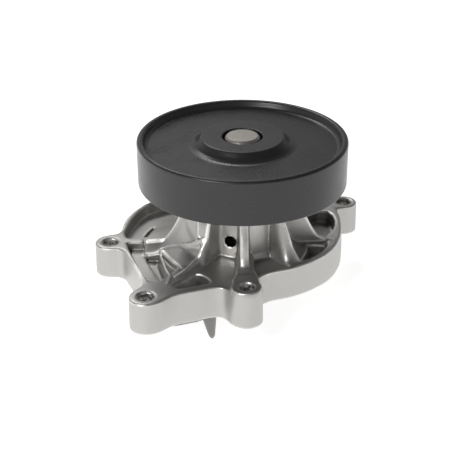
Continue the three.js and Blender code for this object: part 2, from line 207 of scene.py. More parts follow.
# ---- meshes
def surface_net(value, axes):
    """Vertices and quads of the zero surface of a sampled field."""
    solid = value < 0
    cut = (slice(0, -1), slice(1, None))
    corners = [solid[i, j, k] for i in cut for j in cut for k in cut]
    count = sum(c.astype(np.int8) for c in corners)
    cells = np.argwhere((count > 0) & (count < 8))
    number = np.full(count.shape, -1, np.int32)
    number[tuple(cells.T)] = np.arange(len(cells))

    total = np.zeros((len(cells), 3))
    hits = np.zeros(len(cells))
    for axis in range(3):
        others = [a for a in range(3) if a != axis]
        for offset in np.ndindex(2, 2):
            a = cells.copy()
            a[:, others] += offset
            b = a.copy()
            b[:, axis] += 1
            fa, fb = value[tuple(a.T)], value[tuple(b.T)]
            hit = (fa < 0) != (fb < 0)
            t = np.where(hit, fa / np.where(hit, fa - fb, 1), 0)
            point = a.astype(float)
            point[:, axis] += t
            total += point * hit[:, None]
            hits += hit
    index = total / hits[:, None]

    quads = []
    for axis in range(3):
        u, v = (axis + 1) % 3, (axis + 2) % 3
        ahead = np.take(solid, range(1, solid.shape[axis]), axis)
        behind = np.take(solid, range(solid.shape[axis] - 1), axis)
        edges = np.argwhere(ahead != behind)
        inner = (edges > 0) & (edges < np.array(solid.shape) - 1)
        edges = edges[inner[:, u] & inner[:, v]]
        ring = []
        for du, dv in ((-1, -1), (0, -1), (0, 0), (-1, 0)):
            cell = edges.copy()
            cell[:, u] += du
            cell[:, v] += dv
            ring.append(number[tuple(cell.T)])
        quad = np.stack(ring, 1)
        flip = ~behind[tuple(edges.T)]
        quad[flip] = quad[flip][:, ::-1]
        quads.append(quad)

    index = settle(value, index)
    low = np.array([a[0] for a in axes])
    step = float(axes[0][1] - axes[0][0])
    return low + index * step, np.concatenate(quads)


def sample(value, index):
    """Trilinear value at fractional grid positions."""
    base = np.clip(np.floor(index).astype(int), 0, np.array(value.shape) - 2)
    t = index - base
    out = np.zeros(len(index))
    for corner in np.ndindex(2, 2, 2):
        weight = np.prod(np.where(corner, t, 1 - t), axis=1)
        out += weight * value[tuple((base + corner).T)]
    return out


def slope(value, index, reach=0.5):
    out = np.zeros((len(index), 3))
    for axis in range(3):
        step = np.zeros(3)
        step[axis] = reach
        out[:, axis] = (sample(value, index + step) - sample(value, index - step)) / (2 * reach)
    return out


def settle(value, index, rounds=3):
    """Moves each vertex along the field's slope until it lies on the surface."""
    for _ in range(rounds):
        g = slope(value, index)
        move = sample(value, index) / np.maximum((g * g).sum(1), 1e-3)
        move = np.clip(move[:, None] * g, -0.5, 0.5)
        index = index - move
    return index


def spread(field, reach):
    """A field averaged over a cube of cells, twice, so that the average falls off smoothly."""
    out = field
    for _ in range(2):
        for axis in range(3):
            total = np.cumsum(out, axis, dtype=np.float32)
            n = out.shape[axis]
            ahead = np.clip(np.arange(n) + reach, 0, n - 1)
            behind = np.clip(np.arange(n) - reach - 1, 0, n - 1)
            out = (np.take(total, ahead, axis) - np.take(total, behind, axis)) / (2 * reach + 1)
    return out


def vertex_places(obj):
    """Vertex positions in millimetres, one row for each."""
    points = np.empty(len(obj.data.vertices) * 3, np.float32)
    obj.data.vertices.foreach_get("co", points)
    return points.reshape(-1, 3) / MM


def store(obj, name, values):
    data = obj.data.attributes.new(name, "FLOAT", "POINT").data
    data.foreach_set("value", values.astype(np.float32))


def mark_cover(obj, value, axes, near, far):
    """Stores how much material surrounds each vertex: low on edges, half on flats, high in hollows."""
    low = np.array([a[0] for a in axes])
    step = float(axes[0][1] - axes[0][0])
    index = (vertex_places(obj) - low) / step
    solid = np.clip(0.5 - value, 0, 1).astype(np.float32)
    for name, reach in (("edge_cover", near), ("deep_cover", far)):
        store(obj, name, sample(spread(solid, reach), index))


def placed(name, data):
    """A new object in the scene."""
    obj = bpy.data.objects.new(name, data)
    bpy.context.scene.collection.objects.link(obj)
    return obj


def object_from(name, points, faces):
    """A mesh object from millimetre points and faces with equal corner counts."""
    points, faces = np.asarray(points, np.float32) * MM, np.asarray(faces, np.int32)
    mesh = bpy.data.meshes.new(name)
    mesh.vertices.add(len(points))
    mesh.vertices.foreach_set("co", points.ravel())
    mesh.loops.add(faces.size)
    mesh.loops.foreach_set("vertex_index", faces.ravel())
    mesh.polygons.add(len(faces))
    mesh.polygons.foreach_set("loop_start", np.arange(len(faces), dtype=np.int32) * faces.shape[1])
    mesh.update(calc_edges=True)
    mesh.validate()
    mesh.polygons.foreach_set("use_smooth", np.ones(len(mesh.polygons), bool))
    return placed(name, mesh)


def filleted(profile):
    """(radius, height, corner radius) points of a closed profile as a dense loop with round corners."""
    out = []
    n = len(profile)
    for i, (r, z, rad) in enumerate(profile):
        c = np.array((r, z), float)
        if rad <= 0:
            out.append(tuple(c))
            continue
        a = np.array(profile[i - 1][:2], float) - c
        b = np.array(profile[(i + 1) % n][:2], float) - c
        la, lb = np.linalg.norm(a), np.linalg.norm(b)
        ua, ub = a / la, b / lb
        half = math.acos(max(-1, min(1, float(ua @ ub)))) / 2
        reach = min(rad / math.tan(half), 0.49 * la, 0.49 * lb)
        rad = reach * math.tan(half)
        middle = (ua + ub) / np.linalg.norm(ua + ub)
        centre = c + middle * rad / math.sin(half)
        start, end = c + ua * reach - centre, c + ub * reach - centre
        turn = math.pi - 2 * half
        steps = max(2, round(turn / 0.26))
        for s in range(steps + 1):
            t = s / steps
            w0, w1 = math.sin((1 - t) * turn) / math.sin(turn), math.sin(t * turn) / math.sin(turn)
            out.append(tuple(centre + w0 * start + w1 * end))
    return out


def supported(loop, reach=0.4, longest=3.0):
    """Adds points near the ends and along long straight stretches, so that they shade evenly."""
    out = []
    for a, b in zip(loop, loop[1:] + loop[:1]):
        a, b = np.array(a), np.array(b)
        length = np.linalg.norm(b - a)
        out.append(tuple(a))
        if length > 4 * reach and not (a[0] < 1e-6 and b[0] < 1e-6):
            inner = np.linspace(reach, length - reach, 2 + int((length - 2 * reach) / longest))
            out.extend(tuple(a + (b - a) * t / length) for t in inner)
    return out


def turned(name, profile, steps=144):
    """A turned solid about the shaft axis from a closed (radius, height, corner radius) profile."""
    loop = np.array(supported(filleted(profile)))
    # A third of a step on, so that no close points share x + y: the pointiness mask would join them.
    angle = (np.arange(steps) + 0.3) * 2 * math.pi / steps
    r, z = loop[:, 0][:, None], loop[:, 1][:, None]
    points = np.stack([r * np.cos(angle), r * np.sin(angle), z + 0 * angle], -1)
    n = len(loop)
    i, j = np.meshgrid(np.arange(n), np.arange(steps), indexing="ij")
    i2, j2 = (i + 1) % n, (j + 1) % steps
    faces = np.stack([i * steps + j, i * steps + j2, i2 * steps + j2, i2 * steps + j], -1)
    obj = object_from(name, points.reshape(-1, 3), faces.reshape(-1, 4))
    tidy_mesh(obj)
    return obj


def tidy_mesh(obj, cap_sides=0):
    """Caps open ends, closes the poles of a turned shape and points every face outwards."""
    bm = bmesh.new()
    bm.from_mesh(obj.data)
    if cap_sides:
        bmesh.ops.holes_fill(bm, edges=[e for e in bm.edges if e.is_boundary], sides=cap_sides)
    bmesh.ops.remove_doubles(bm, verts=bm.verts, dist=1e-7)
    bmesh.ops.dissolve_degenerate(bm, edges=bm.edges, dist=1e-8)
    bmesh.ops.recalc_face_normals(bm, faces=bm.faces)
    for face in bm.faces:
        face.smooth = True
    bm.to_mesh(obj.data)
    bm.free()


# ---- dimensions taken from the CAD
HOUSING_LOW, HOUSING_HIGH = cad_box("pump_housing")
HUB_TOP_Z = float(HOUSING_HIGH[2])
RIM_Z = seat_height("left_bolt_seat")
FRONT_SEAT_Z = seat_height("front_bolt_seat")
HUB_R = 20.8
EAR_NAMES = ["left", "front_left", "front", "right", "rear_right", "rear_left"]
EAR_R = {
    "left": 9.2, "front_left": 9.7, "front": 8.9, "right": 8.2, "rear_right": 8.9, "rear_left": 8.9
}
EAR_FILLET = dict.fromkeys(EAR_NAMES, 9.5) | {"front": 14.0}
BOLT_HOLE_R = 4.35
BOLT_CHAMFER = 0.9
BEARING_R = float(cad_box("bearing_outer_ring")[1][0])
BEARING_BOTTOM_Z = float(cad_box("bearing_outer_ring")[0][2])
SHAFT_R = float(cad_box("pump_shaft")[1][0])
SHAFT_BOTTOM_Z, SHAFT_TOP_Z = (float(c[2]) for c in cad_box("pump_shaft"))
PULLEY_R = float(cad_box("pulley")[1][0])
PULLEY_BOTTOM_Z, PULLEY_TOP_Z = (float(c[2]) for c in cad_box("pulley"))
GAP = 0.3


def ear_centre(name):
    low, high = opening(f"{name}_bolt_hole")
    return float(low[0] + high[0]) / 2, float(low[1] + high[1]) / 2


EARS = {name: ear_centre(name) for name in EAR_NAMES}

# Flange wall, counter-clockwise: the same corners as the CAD.
WALL_PATH = [
    (16, -36.5), (27.5, -32), (39, -24.5), (51.3, -11.4), (58.4, 6), (60.6, 24), (58.5, 43), (46, 58.5),
    (28, 70), (5, 76.3), (-20, 75), (-42, 67), (-60.1, 53), (-70.9, 32), (-73, 14), (-71.2, -4),
    (-64, -24), (-57.5, -38), (-54, -52), (-47, -64), (-30, -59.2), (-15, -53.3), (2, -47),
]
WALL = spline(WALL_PATH, 5, closed=True)
DRAFT = 0.012  # sideways lean of the flange's outside for each unit of height
SLANT = 0.7071  # makes the field of a 45 degree chamfer a distance


# ---- the casting
def radius(x, y):
    return np.sqrt(x * x + y * y)


def along_across(x, y, azimuth):
    """Distance outwards along a direction from the shaft axis, and to its counter-clockwise side."""
    a = math.radians(azimuth)
    return x * math.cos(a) + y * math.sin(a), -x * math.sin(a) + y * math.cos(a)


def between(x, y, first, last):
    """Signed distance to the sector from one azimuth counter-clockwise to another."""
    return np.maximum(-along_across(x, y, first)[1], along_across(x, y, last)[1])


def flange(x, y, z):
    """The outer wall and the ears, with concave fillets between them and a slight draft."""
    plan = loop_distance(x, y, WALL)
    for name, (ex, ey) in EARS.items():
        plan = blend_min(plan, radius(x - ex, y - ey) - EAR_R[name], EAR_FILLET[name])
    return blend_max(blend_max(plan + DRAFT * z, z - RIM_Z, 1.1), -z, 0.6)


@shaped
def boss(x, y, z, name, top):
    ex, ey = EARS[name]
    side = radius(x - ex, y - ey) - EAR_R[name] + DRAFT * z
    return blend_max(blend_max(side, z - top, 1.3), -z, 0.6)


@shaped
def bolt_hole(x, y, z, name, top):
    ex, ey = EARS[name]
    r = radius(x - ex, y - ey)
    wide = (r - BOLT_HOLE_R - BOLT_CHAMFER + (top - z)) * SLANT
    low = (r - BOLT_HOLE_R - BOLT_CHAMFER + z) * SLANT
    return np.minimum(np.minimum(r - BOLT_HOLE_R, wide), low)


def falling(s, z, profile):
    """Signed height over a profile of (distance, height) points, scaled to a distance."""
    along, height = (np.array(c) for c in zip(*profile))
    grade = np.gradient(height, along)
    return (z - np.interp(s, along, height)) / np.sqrt(1 + np.interp(s, along, grade) ** 2)


def over_rim(crest):
    """A smooth profile from points whose heights are counted from the flange's top."""
    return [(s, RIM_Z + h) for s, h in spline(crest)]


# The web round the hub falls from the hub to the pocket floors. Profiles are (distance, height).
SKIRT = spline([
    (20, 58), (HUB_R, 56), (25, 45), (30, 35), (35, 27), (40, 21.5), (46, 17), (54, 14), (60, 12.6),
    (70, 11.4), (80, 10.5),
])
SKIRT_RIGHT = spline([
    (20, 58), (23, 38), (26, 28), (29, 22), (32, 18.6), (35, 17.2), (37.3, 16.8), (38.6, 12), (40, 7),
])
SKIRT_LEFT_FAR = spline([
    (21, 66), (27, 53), (32, 42), (37.6, 30), (39.2, 27), (41, 24.3), (42.7, 22), (44.4, 20),
    (47, 17.8), (52, 15.9), (58, 15.2),
])
SKIRT_LEFT_NEAR = spline([
    (21, 62), (26, 48), (29.6, 38), (30.5, 34), (31.5, 30.5), (33.6, 27), (35.7, 23.2), (38.7, 20.4),
    (42.2, 19), (46, 17.2), (50, 15.8), (58, 15),
])
SKIRT_WIDEST = 78.0
REAR_SECTOR, RIGHT_SECTOR, LEFT_SECTOR = (4, 179), (-36, 4), (179, -131.4)


def wall_reach(x, y):
    """Distance from the shaft axis to the flange wall in the direction of each point."""
    loop = np.array(WALL)
    angle = np.arctan2(loop[:, 1], loop[:, 0])
    order = np.argsort(angle)
    return np.interp(np.arctan2(y, x), angle[order], np.hypot(*loop.T)[order], period=2 * math.pi)


def skirt(x, y, z):
    share = (wall_reach(x, y) - HUB_R) / (SKIRT_WIDEST - HUB_R)
    rear = np.maximum(
        falling(HUB_R + (radius(x, y) - HUB_R) / share, z, SKIRT), between(x, y, *REAR_SECTOR)
    )
    right = np.maximum(falling(radius(x, y), z, SKIRT_RIGHT), between(x, y, *RIGHT_SECTOR))
    return blend_max(np.minimum(rear, right), 5 - z, 0.5)


def left_web_height(x, y, z):
    """Signed height over the conical web between the two left ribs."""
    first, last = LEFT_SECTOR
    turn = np.degrees(np.arctan2(y, x)) % 360
    share = np.clip((turn - first) / (last + 360 - first), 0, 1)
    r = radius(x, y)
    return falling(r, z, SKIRT_LEFT_FAR) * (1 - share) + falling(r, z, SKIRT_LEFT_NEAR) * share


def left_web(x, y, z):
    """The web between the two left ribs, cut off in front of the inner trough."""
    plan = loop_distance(x, y, rounded(LEFT_WEB, 1.0))
    return blend_max(blend_max(left_web_height(x, y, z), plan, 1.0), 5 - z, 0.5)


# Gusset ribs. A crest is a list of (distance from the shaft axis, height over the flange's top).
STEEP = [
    (22.5, 45.4), (27, 31), (30.2, 20.9), (32, 16.7), (33.9, 12.2), (35.9, 7.1), (38.1, 3.9),
    (40.5, 0.7), (44, -3),
]
FLARED = [
    (22.5, 45.4), (29.5, 32), (35, 21.5), (38.3, 14.7), (41.1, 9.1), (44.5, 4), (46.6, 2.6), (49, 1.5),
    (52, 0.6), (58, -1),
]
CURVED = [
    (22.5, 45.4), (27, 38), (32, 28), (37.6, 15.4), (39.2, 12.1), (41, 8.8), (42.7, 6.3), (44.4, 4.1),
    (46.9, 2), (52, 1.3), (57.4, 0.7),
]
STOUT = [
    (22.5, 45.4), (26, 34), (29.6, 22.5), (30.5, 18.4), (31.5, 14.3), (33.6, 11.5), (35.7, 8.8),
    (36.9, 6.5), (38.7, 4.5), (42.2, 3.3), (46.3, 2.2), (52, 0.8), (57.6, 0.1),
]
# A flank leans out from the crest to the floor: its width at the floor against distance from the axis.
FLANK_B = [(20, 2.2), (23.4, 3.4), (26.9, 4.5), (30.4, 5.6), (35.1, 6.8), (40, 7.8)]
FLANK_D = [(20, 1.2), (28, 1.8), (35, 3.3), (40, 4.3), (45, 5.4), (57, 6)]
FLANK_E = [(27, 5), (37.6, 7.5), (41, 9), (44.4, 9.5), (52, 8.8), (57.4, 7.5)]
WEB_FOOT_Z = 14.8
RIB_DRAFT = 0.02
STOUT_AZIMUTH = -131.4
RIBS = [
    dict(azimuth=-88, half=2.5, crest=STEEP, reach=41, edge=1.6),
    dict(azimuth=-36, half=1.15, crest=STEEP, reach=41.5, left=FLANK_B, edge=0.8, land=1.4),
    *(
        dict(azimuth=azimuth, half=1.0, crest=FLARED, reach=reach)
        for azimuth, reach in ((4, 55), (44, 60), (84, 64), (124, 66))
    ),
    dict(
        azimuth=179, half=1.0, crest=CURVED, reach=57.4, right=FLANK_E, base=WEB_FOOT_Z, edge=0.7,
        land=1.6,
    ),
    dict(azimuth=STOUT_AZIMUTH, half=1.15, crest=STOUT, reach=57, right=FLANK_D, edge=0.7, land=1.2),
]


@shaped
def rib(x, y, z, azimuth, half, crest, reach, left=None, right=None, edge=1.0, base=RIM_Z, land=0.0):
    """A gusset rib against the hub. Left and right are as seen from outside, looking at the hub.

    Land is the height of the upright strip under the crest, and base the floor that a flank leans to.
    """
    profile = over_rim(crest)
    profile.append((reach + 20, profile[-1][1] - 10))
    s, t = along_across(x, y, azimuth)
    top = falling(s, z, profile)
    crest_z = np.interp(s, *zip(*profile))
    depth = np.maximum(crest_z - z, 0)
    share = np.clip((depth - land) / np.maximum(crest_z - land - base, 1.5), 0, 1)
    sides = []
    for across, flank in ((t, right), (-t, left)):
        if flank is None:
            sides.append(across - half - RIB_DRAFT * depth)
        else:
            lean = (np.interp(s, *zip(*flank)) - half) * share
            sides.append((across - half - lean) * 0.85)
    body = blend_max(np.maximum(*sides), top, edge)
    body = blend_max(body, s - reach, 1.0)
    return blend_max(body, 6 - z, 0.5)


# Pockets between the ribs: floor height and outline.
RIGHT_EDGE = [(24, -15), (32, -22), (35.5, -21.2), (38.4, -20.2), (43.2, -15.2), (46.9, -10.4)]
POCKETS = [
    (18.7, [(27, 4), *RIGHT_EDGE, (49.2, -5.5), (50.6, 1), (49, 4)]),
    (17.2, [(28, 0), *RIGHT_EDGE, (49, -5.5), (49.8, -1.6), (40, -0.4)]),
    (8.5, [
        (38.6, -0.6), (37.8, -8), (35.4, -15), (33.0, -20.3), (38.4, -20.1), (43, -15.2), (46.7, -10.4),
        (48.8, -5.5), (49.6, -1.8),
    ]),
    (9.0, [
        (40, 5), (47, 4.6), (49.1, 6.4), (51.7, 10.8), (54.4, 16), (56.2, 22.5), (56.6, 29.2),
        (55.7, 35.9), (53, 40.7), (46, 41), (34, 28),
    ]),
    (9.0, [(30, 36), (45, 51), (36, 60), (22, 66), (8, 70), (6, 44)]),
    (9.0, [(-1, 46), (1, 71), (-18, 70.5), (-35, 65), (-26, 42)]),
    (9.5, [
        (-32, 40), (-43, 60), (-59.3, 51.4), (-64.4, 42.5), (-68.5, 29), (-71, 14), (-70.1, 8.6),
        (-68.3, 4.8), (-58, 4.3), (-57.4, 0.6), (-40, 0.6),
    ]),
]
BAY = [
    (-67.9, -1), (-58.2, -1), (-57.8, 0.3), (-38, 0.3), (-30, -10), (-38, -34), (-42, -42),
    (-45.1, -44.6), (-48, -46.6), (-51.2, -46.8), (-53.2, -44.2), (-55.6, -38.5), (-59.4, -28.9),
    (-63.6, -17.3), (-66.6, -8),
]
BAY_Z = 11.0
SHELF = [
    (-72, 0), (-57.9, 0), (-57.8, -6), (-55.2, -15), (-52.1, -23.5), (-48.3, -33.5), (-45.3, -40),
    (-44, -50), (-60, -50), (-72, -8),
]
SHELF_Z = 14.4
CORNER_SLOT = [(-68.4, -1.2), (-65.8, -1.2), (-65.2, -8), (-66.2, -9.5)]
GROOVE = [(-58.4, -0.6), (-57.3, -0.6), (-57.3, 3.6), (-58.4, 3.6)]
SLIT = [(-58.7, 21.3), (-56.9, 27.2), (-54.7, 31.6)]
LEFT_WEB = [
    (-57.7, 2), (-57.7, -7), (-55, -9.2), (-48, -8.6), (-44, -12), (-25, -26), (-8, -12), (-8, 2),
]
PIT = [
    (-25.3, -38.8), (-22.6, -39.2), (-19.3, -42.7), (-17.5, -47.4), (-19.1, -49.5), (-23.8, -50.6),
    (-28.3, -52.6), (-32.9, -54.2), (-35.6, -54.5), (-39.2, -52.2), (-40.8, -50), (-41, -46.5),
    (-29.8, -33.8),
]
PIT_Z = 9.5
FIELD = [
    (6, -20), (6, -38.5), (10.5, -38.5), (16.8, -34.4), (27.5, -30), (30, -27), (26, -24), (17, -16),
]
PLATE = [
    (-47.4, -10.6), (-43.7, -11.4), (-39.5, -13.2), (-35.3, -15.5), (-31.1, -19), (-27.4, -21),
    (-25.4, -22), (-20, -17), (-10, -12), (-33, -36), (-34.3, -31.6), (-39, -26.7), (-43.4, -19.2),
]
PLATE_CREST = [
    (22.5, 44), (26, 33), (29.6, 21.5), (30.5, 17.5), (31.5, 14), (33.6, 10.9), (36.4, 7.9),
    (38.5, 5.8), (41.6, 4.1), (45, 2.2), (47.6, 0.7), (52, 0.3), (58, 0),
]
PLATE_PROFILE = over_rim(PLATE_CREST)
PLATE_EDGE = spline([*PLATE[:7], (-22.6, -23.2)], 3)
WEB_LINE = [(-25.4, -22), (-25.2, -17), (-24.6, -12)]
PLATE_DIP, PLATE_DIP_WIDTH = 1.9, 16.0  # depth and width of the hollow beside the rib
VALLEY = [
    (-48, -11), (-43.5, -19), (-39, -26.5), (-34, -31.6), (-33, -36), (-39, -44), (-41.5, -44),
    (-43.5, -34), (-46, -22),
]
VALLEY_Z = 17.4
BEAD_INNER = [(-47.2, -10.6), (-45.6, -15), (-43.4, -19.2), (-39, -26.7), (-34.3, -31.6), (-32.8, -33)]
BEAD_OUTER = [
    (-47.6, -10.7), (-47, -17), (-45.6, -22.5), (-43, -32.4), (-40.4, -41.2), (-40.6, -45.2),
    (-41.4, -49.3),
]
EYE_R, EYE_CEILING_Z = 36.0, 15.0
SEAL_BORE_R, SEAL_BORE_TOP_Z = 17, 25.5
THROAT_R, THROAT_TOP_Z = 15, 40
SPOT_FACE_R = 12.6
SCROLL_CEILING_Z, LAND = 5.2, 6.5
WEEP_R, WEEP_Z, WEEP_AZIMUTH = 3.35, 29.8, -109.4


def plate(x, y, z):
    """The web beside the left stout rib: level at the rim, rising to the hub."""
    across = np.abs(along_across(x, y, STOUT_AZIMUTH)[1])
    dip = PLATE_DIP * (1 - np.clip(across / PLATE_DIP_WIDTH, 0, 1)) ** 2
    top = falling(radius(x, y), z, PLATE_PROFILE) + dip
    plan = loop_distance(x, y, rounded(PLATE, 1.0))
    return blend_max(blend_max(plan - 0.05 * (RIM_Z - z), top, 0.9), 6 - z, 0.5)


@shaped
def web_bead(x, y, z, path, size):
    """A round bar that lies along a path on the web and the plate."""
    height = np.minimum(falling(radius(x, y), z, PLATE_PROFILE), left_web_height(x, y, z))
    return np.hypot(path_distance(x, y, path), height) - size


@shaped
def bead(x, y, z, points, half, top):
    line = spline(points)
    side = path_distance(x, y, line) - half - 0.12 * np.maximum(top - z, 0)
    return blend_max(blend_max(side, z - top, 1.0), 8 - z, 0.5)


def pit(x, y, z):
    """The deep pocket in front of the left stout rib; its far side carries on the rib's flank."""
    plan = loop_distance(x, y, rounded(PIT, 1.5))
    s, t = along_across(x, y, STOUT_AZIMUTH)
    foot = np.interp(s, *zip(*FLANK_D))
    floor = np.maximum(PIT_Z, RIM_Z - 3.0 * (t - foot + 0.3))
    return blend_max(plan, (floor - z) * 0.4, 1.0)


def slit(x, y, z):
    """A narrow core mark in the floor of the left rear pocket."""
    return np.maximum(path_distance(x, y, SLIT) - 0.9, 8.5 - z)


def front_pad(x, y, z):
    loop = [(-3.4, -20), (-3.6, -44), (-6.5, -52), (10, -52), (8.5, -44), (6.0, -36), (5.8, -20)]
    plan = loop_distance(x, y, rounded(loop, 3))
    return blend_max(blend_max(plan, z - FRONT_SEAT_Z - 0.5, 0.9), 12 - z, 0.5)


def hub(x, y, z):
    side = radius(x, y) - HUB_R + 0.006 * (z - RIM_Z)
    return blend_max(blend_max(side, z - HUB_TOP_Z, 1.2), 6 - z, 0.5)


def bores(x, y, z):
    """Everything cored or bored along the shaft axis."""
    r = radius(x, y)
    eye = blend_max(r - EYE_R, z - EYE_CEILING_Z, 1.2)
    seal_bore = np.maximum(r - SEAL_BORE_R, z - SEAL_BORE_TOP_Z)
    throat = np.maximum(r - THROAT_R, z - THROAT_TOP_Z)
    bearing = np.maximum(r - BEARING_R - GAP, BEARING_BOTTOM_Z - GAP - z)
    chamfer = (r - BEARING_R - GAP - 0.8 + (HUB_TOP_Z - z)) * SLANT
    return np.minimum.reduce([eye, seal_bore, throat, bearing, chamfer])


def scroll(x, y, z):
    shares = [1 - LAND / math.hypot(*corner) for corner in WALL]
    loop = [(px * share, py * share) for (px, py), share in zip(WALL, shares)]
    return blend_max(loop_distance(x, y, loop) + 0.04 * z, z - SCROLL_CEILING_Z, 2.0)


def weep_hole(x, y, z):
    s, t = along_across(x, y, WEEP_AZIMUTH)
    return np.maximum(np.sqrt(t * t + (z - WEEP_Z) ** 2) - WEEP_R, 10 - s)


TONGUE = [
    (-24, 3), (-24, 2), (-18.9, -15), (-17.6, -16.6), (-16.2, -16.4), (-15.3, -14.8), (-14.1, 2),
    (-14.1, 3),
]
TONGUE_FRONT, TONGUE_BACK = -50.0, -46.6
LAND_STRIP = [(-42.8, -62.2), (-34, -59.8), (-24.4, -56), (-20.4, -53), (-20.4, -47.4), (-42.8, -57)]


def cutwater(x, y, z):
    """The tongue that reaches into the engine block under the front wall."""
    front = loop_distance(x, z, rounded(TONGUE, 0.8))
    middle, half = (TONGUE_FRONT + TONGUE_BACK) / 2, (TONGUE_BACK - TONGUE_FRONT) / 2
    return blend_max(front, np.abs(y - middle) - half, 0.7)


@shaped
def within_wall(x, y, z, shape):
    """The same shape, cut off inside the flange wall."""
    return blend_max(shape(x, y, z), loop_distance(x, y, WALL) + 1.2, 1.0)


def carve_pocket(cast, points, floor, low, fillet, **form):
    cast.carve(pocket(points, floor, **form), *extent(points, low, RIM_Z + 4), fillet=fillet)


def carve_pockets(cast):
    for floor, points in POCKETS:
        carve_pocket(cast, points, floor, floor - 3, 0.9, corner=1.6, draft=0.04)
    carve_pocket(cast, BAY, BAY_Z, 7, 0.9, corner=1.6, draft=0.0, root=3.6)
    carve_pocket(cast, FIELD, RIM_Z - 1.4, 15, 0.7, corner=1.5, root=1.0)


def add_left_details(cast):
    """Shelf, web, plate, beads and small core marks between the left ear and the stout rib."""
    cast.add(
        within_wall(block(SHELF, 5, SHELF_Z, 0.8, 1.0)), *extent(SHELF, 5, SHELF_Z + 4), fillet=0.9
    )
    carve_pocket(cast, CORNER_SLOT, 10, 7, 0.5, corner=0.6, draft=0.02, root=0.6)
    cast.add(left_web, *extent(LEFT_WEB, 5, 66), fillet=1.0)
    cast.add(block(VALLEY, 5, VALLEY_Z, 0.6, 1.0), *extent(VALLEY, 5, 25), fillet=0.8)
    cast.add(plate, *extent(PLATE, 5, 64), fillet=0.9)
    cast.add(web_bead(PLATE_EDGE, 1.0), *extent(PLATE, 8, 64), fillet=0.9)
    cast.add(web_bead(WEB_LINE, 0.8), *extent(WEB_LINE, 8, 64), fillet=0.9)
    cast.add(bead(BEAD_INNER, 0.6, RIM_Z + 0.9), *extent(BEAD_INNER, 8, 25), fillet=0.9)
    cast.add(bead(BEAD_OUTER, 0.55, RIM_Z + 0.2), *extent(BEAD_OUTER, 8, 25), fillet=0.9)


def add_front_boss(cast):
    fx, fy = EARS["front"]
    cast.add(boss("front", FRONT_SEAT_Z), *extent([EARS["front"]], -2, 27, margin=13), fillet=1.5)
    cast.add(front_pad, (-12, -56, 10), (14, -16, 27), fillet=1.5)
    cast.carve(
        lambda x, y, z: np.maximum(radius(x - fx, y - fy) - SPOT_FACE_R, FRONT_SEAT_Z - z),
        *extent([EARS["front"]], 18, 30, margin=16),
        fillet=0.4,
    )


def make_housing(pitch):
    margin = 2.0
    low, high = HOUSING_LOW - margin, HOUSING_HIGH + margin
    cast = Casting(low, high, pitch)
    top = HUB_TOP_Z + 2
    cast.add(flange, low, (*high[:2], RIM_Z + 4))
    carve_pockets(cast)
    cast.add(within_wall(skirt), (-76, -50, 4), (64, 78, 60), fillet=2.2)
    add_left_details(cast)
    cast.add(hub, (-26, -26, 5), (26, 26, top), fillet=2.6)
    for item in RIBS:
        a = math.radians(item["azimuth"])
        tip = (item["reach"] * math.cos(a), item["reach"] * math.sin(a))
        cast.add(within_wall(rib(**item)), *extent([(0, 0), tip], 5, 70, margin=14), fillet=1.0)
    carve_pocket(cast, GROOVE, 15, 12, 0.4, corner=0.2, draft=0.02, root=0.5)
    cast.carve(slit, *extent(SLIT, 8, 20), fillet=0.4)
    cast.carve(pit, *extent(PIT, 6, RIM_Z + 4), fillet=0.9)
    add_front_boss(cast)
    cast.carve(bores, (-42, -42, low[2]), (42, 42, top), fillet=0.5)
    cast.carve(scroll, low, (*high[:2], 12), fillet=0.8)
    cast.carve(weep_hole, (-20, -32, 22), (4, -6, 38), fillet=0.5)
    cast.add(block(LAND_STRIP, -1.6, 2, 0.3, 0.6), *extent(LAND_STRIP, -4, 4), fillet=0.5)
    cast.add(cutwater, (-28, -54, low[2]), (-10, -42, 6), fillet=0.8)
    for name, centre in EARS.items():
        seat = FRONT_SEAT_Z if name == "front" else RIM_Z
        cast.carve(bolt_hole(name, seat), *extent([centre], -2, seat + 3, margin=9), fillet=0.35)
    obj = object_from("housing_casting", *surface_net(cast.value, cast.axes))
    mark_cover(obj, cast.value, cast.axes, near=1, far=4)
    mark_details(obj)
    return obj


def painted_crest_highlight(x, y, z):
    """One on the tops of the ribs and beads: the mask of a painted highlight along the crests, which
    are also made smoother.
    """
    share = np.zeros(len(x))
    for item in RIBS:
        s, t = along_across(x, y, item["azimuth"])
        crest_z = RIM_Z + np.interp(s, *zip(*item["crest"]))
        near = (s > HUB_R) & (s < item["reach"]) & (z > crest_z - 1.2)
        weight = min(1, 1.15 / item["half"])
        share = np.maximum(share, weight * near * np.clip((item["half"] + 0.5 - np.abs(t)) / 0.9, 0, 1))
    for path, half in ((PLATE_EDGE, 0.5), (WEB_LINE, 0.2), (BEAD_INNER, 0.5), (BEAD_OUTER, 0.4)):
        near = z > RIM_Z - 1
        share = np.maximum(share, near * np.clip((half + 0.3 - path_distance(x, y, path)) / 0.5, 0, 1))
    return share


def mark_details(obj):
    """Marks the bolt holes' machined walls, the weep hole's unlit inside for painted shade, and the
    smooth crests for a painted highlight.
    """
    x, y, z = vertex_places(obj).T
    nearest = np.min([radius(x - ex, y - ey) for ex, ey in EARS.values()], axis=0)
    bored = np.clip((BOLT_HOLE_R + 0.5 - nearest) / 0.4, 0, 1)
    s, t = along_across(x, y, WEEP_AZIMUTH)
    weep_painted_shade = (np.hypot(t, z - WEEP_Z) < WEEP_R + 0.3) & (s > 14) & (s < HUB_R - 0.4)
    # The weep attribute masks painted shade, the crest attribute a painted highlight.
    for name, share in (("bored", bored), ("weep_painted_shade", weep_painted_shade), ("crest", painted_crest_highlight(x, y, z))):
        store(obj, name, share)


housing = make_housing(HOUSING_GRID)

# ---- pulley, shaft and bearing
def present(obj, node, body, slot):
    """Puts a visual piece in place of a CAD node."""
    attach(obj, body)
    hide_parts(node)
    PIECES.append((obj, slot))


PIECES = []
present(housing, "pump_housing", "housing", "cast_aluminium")

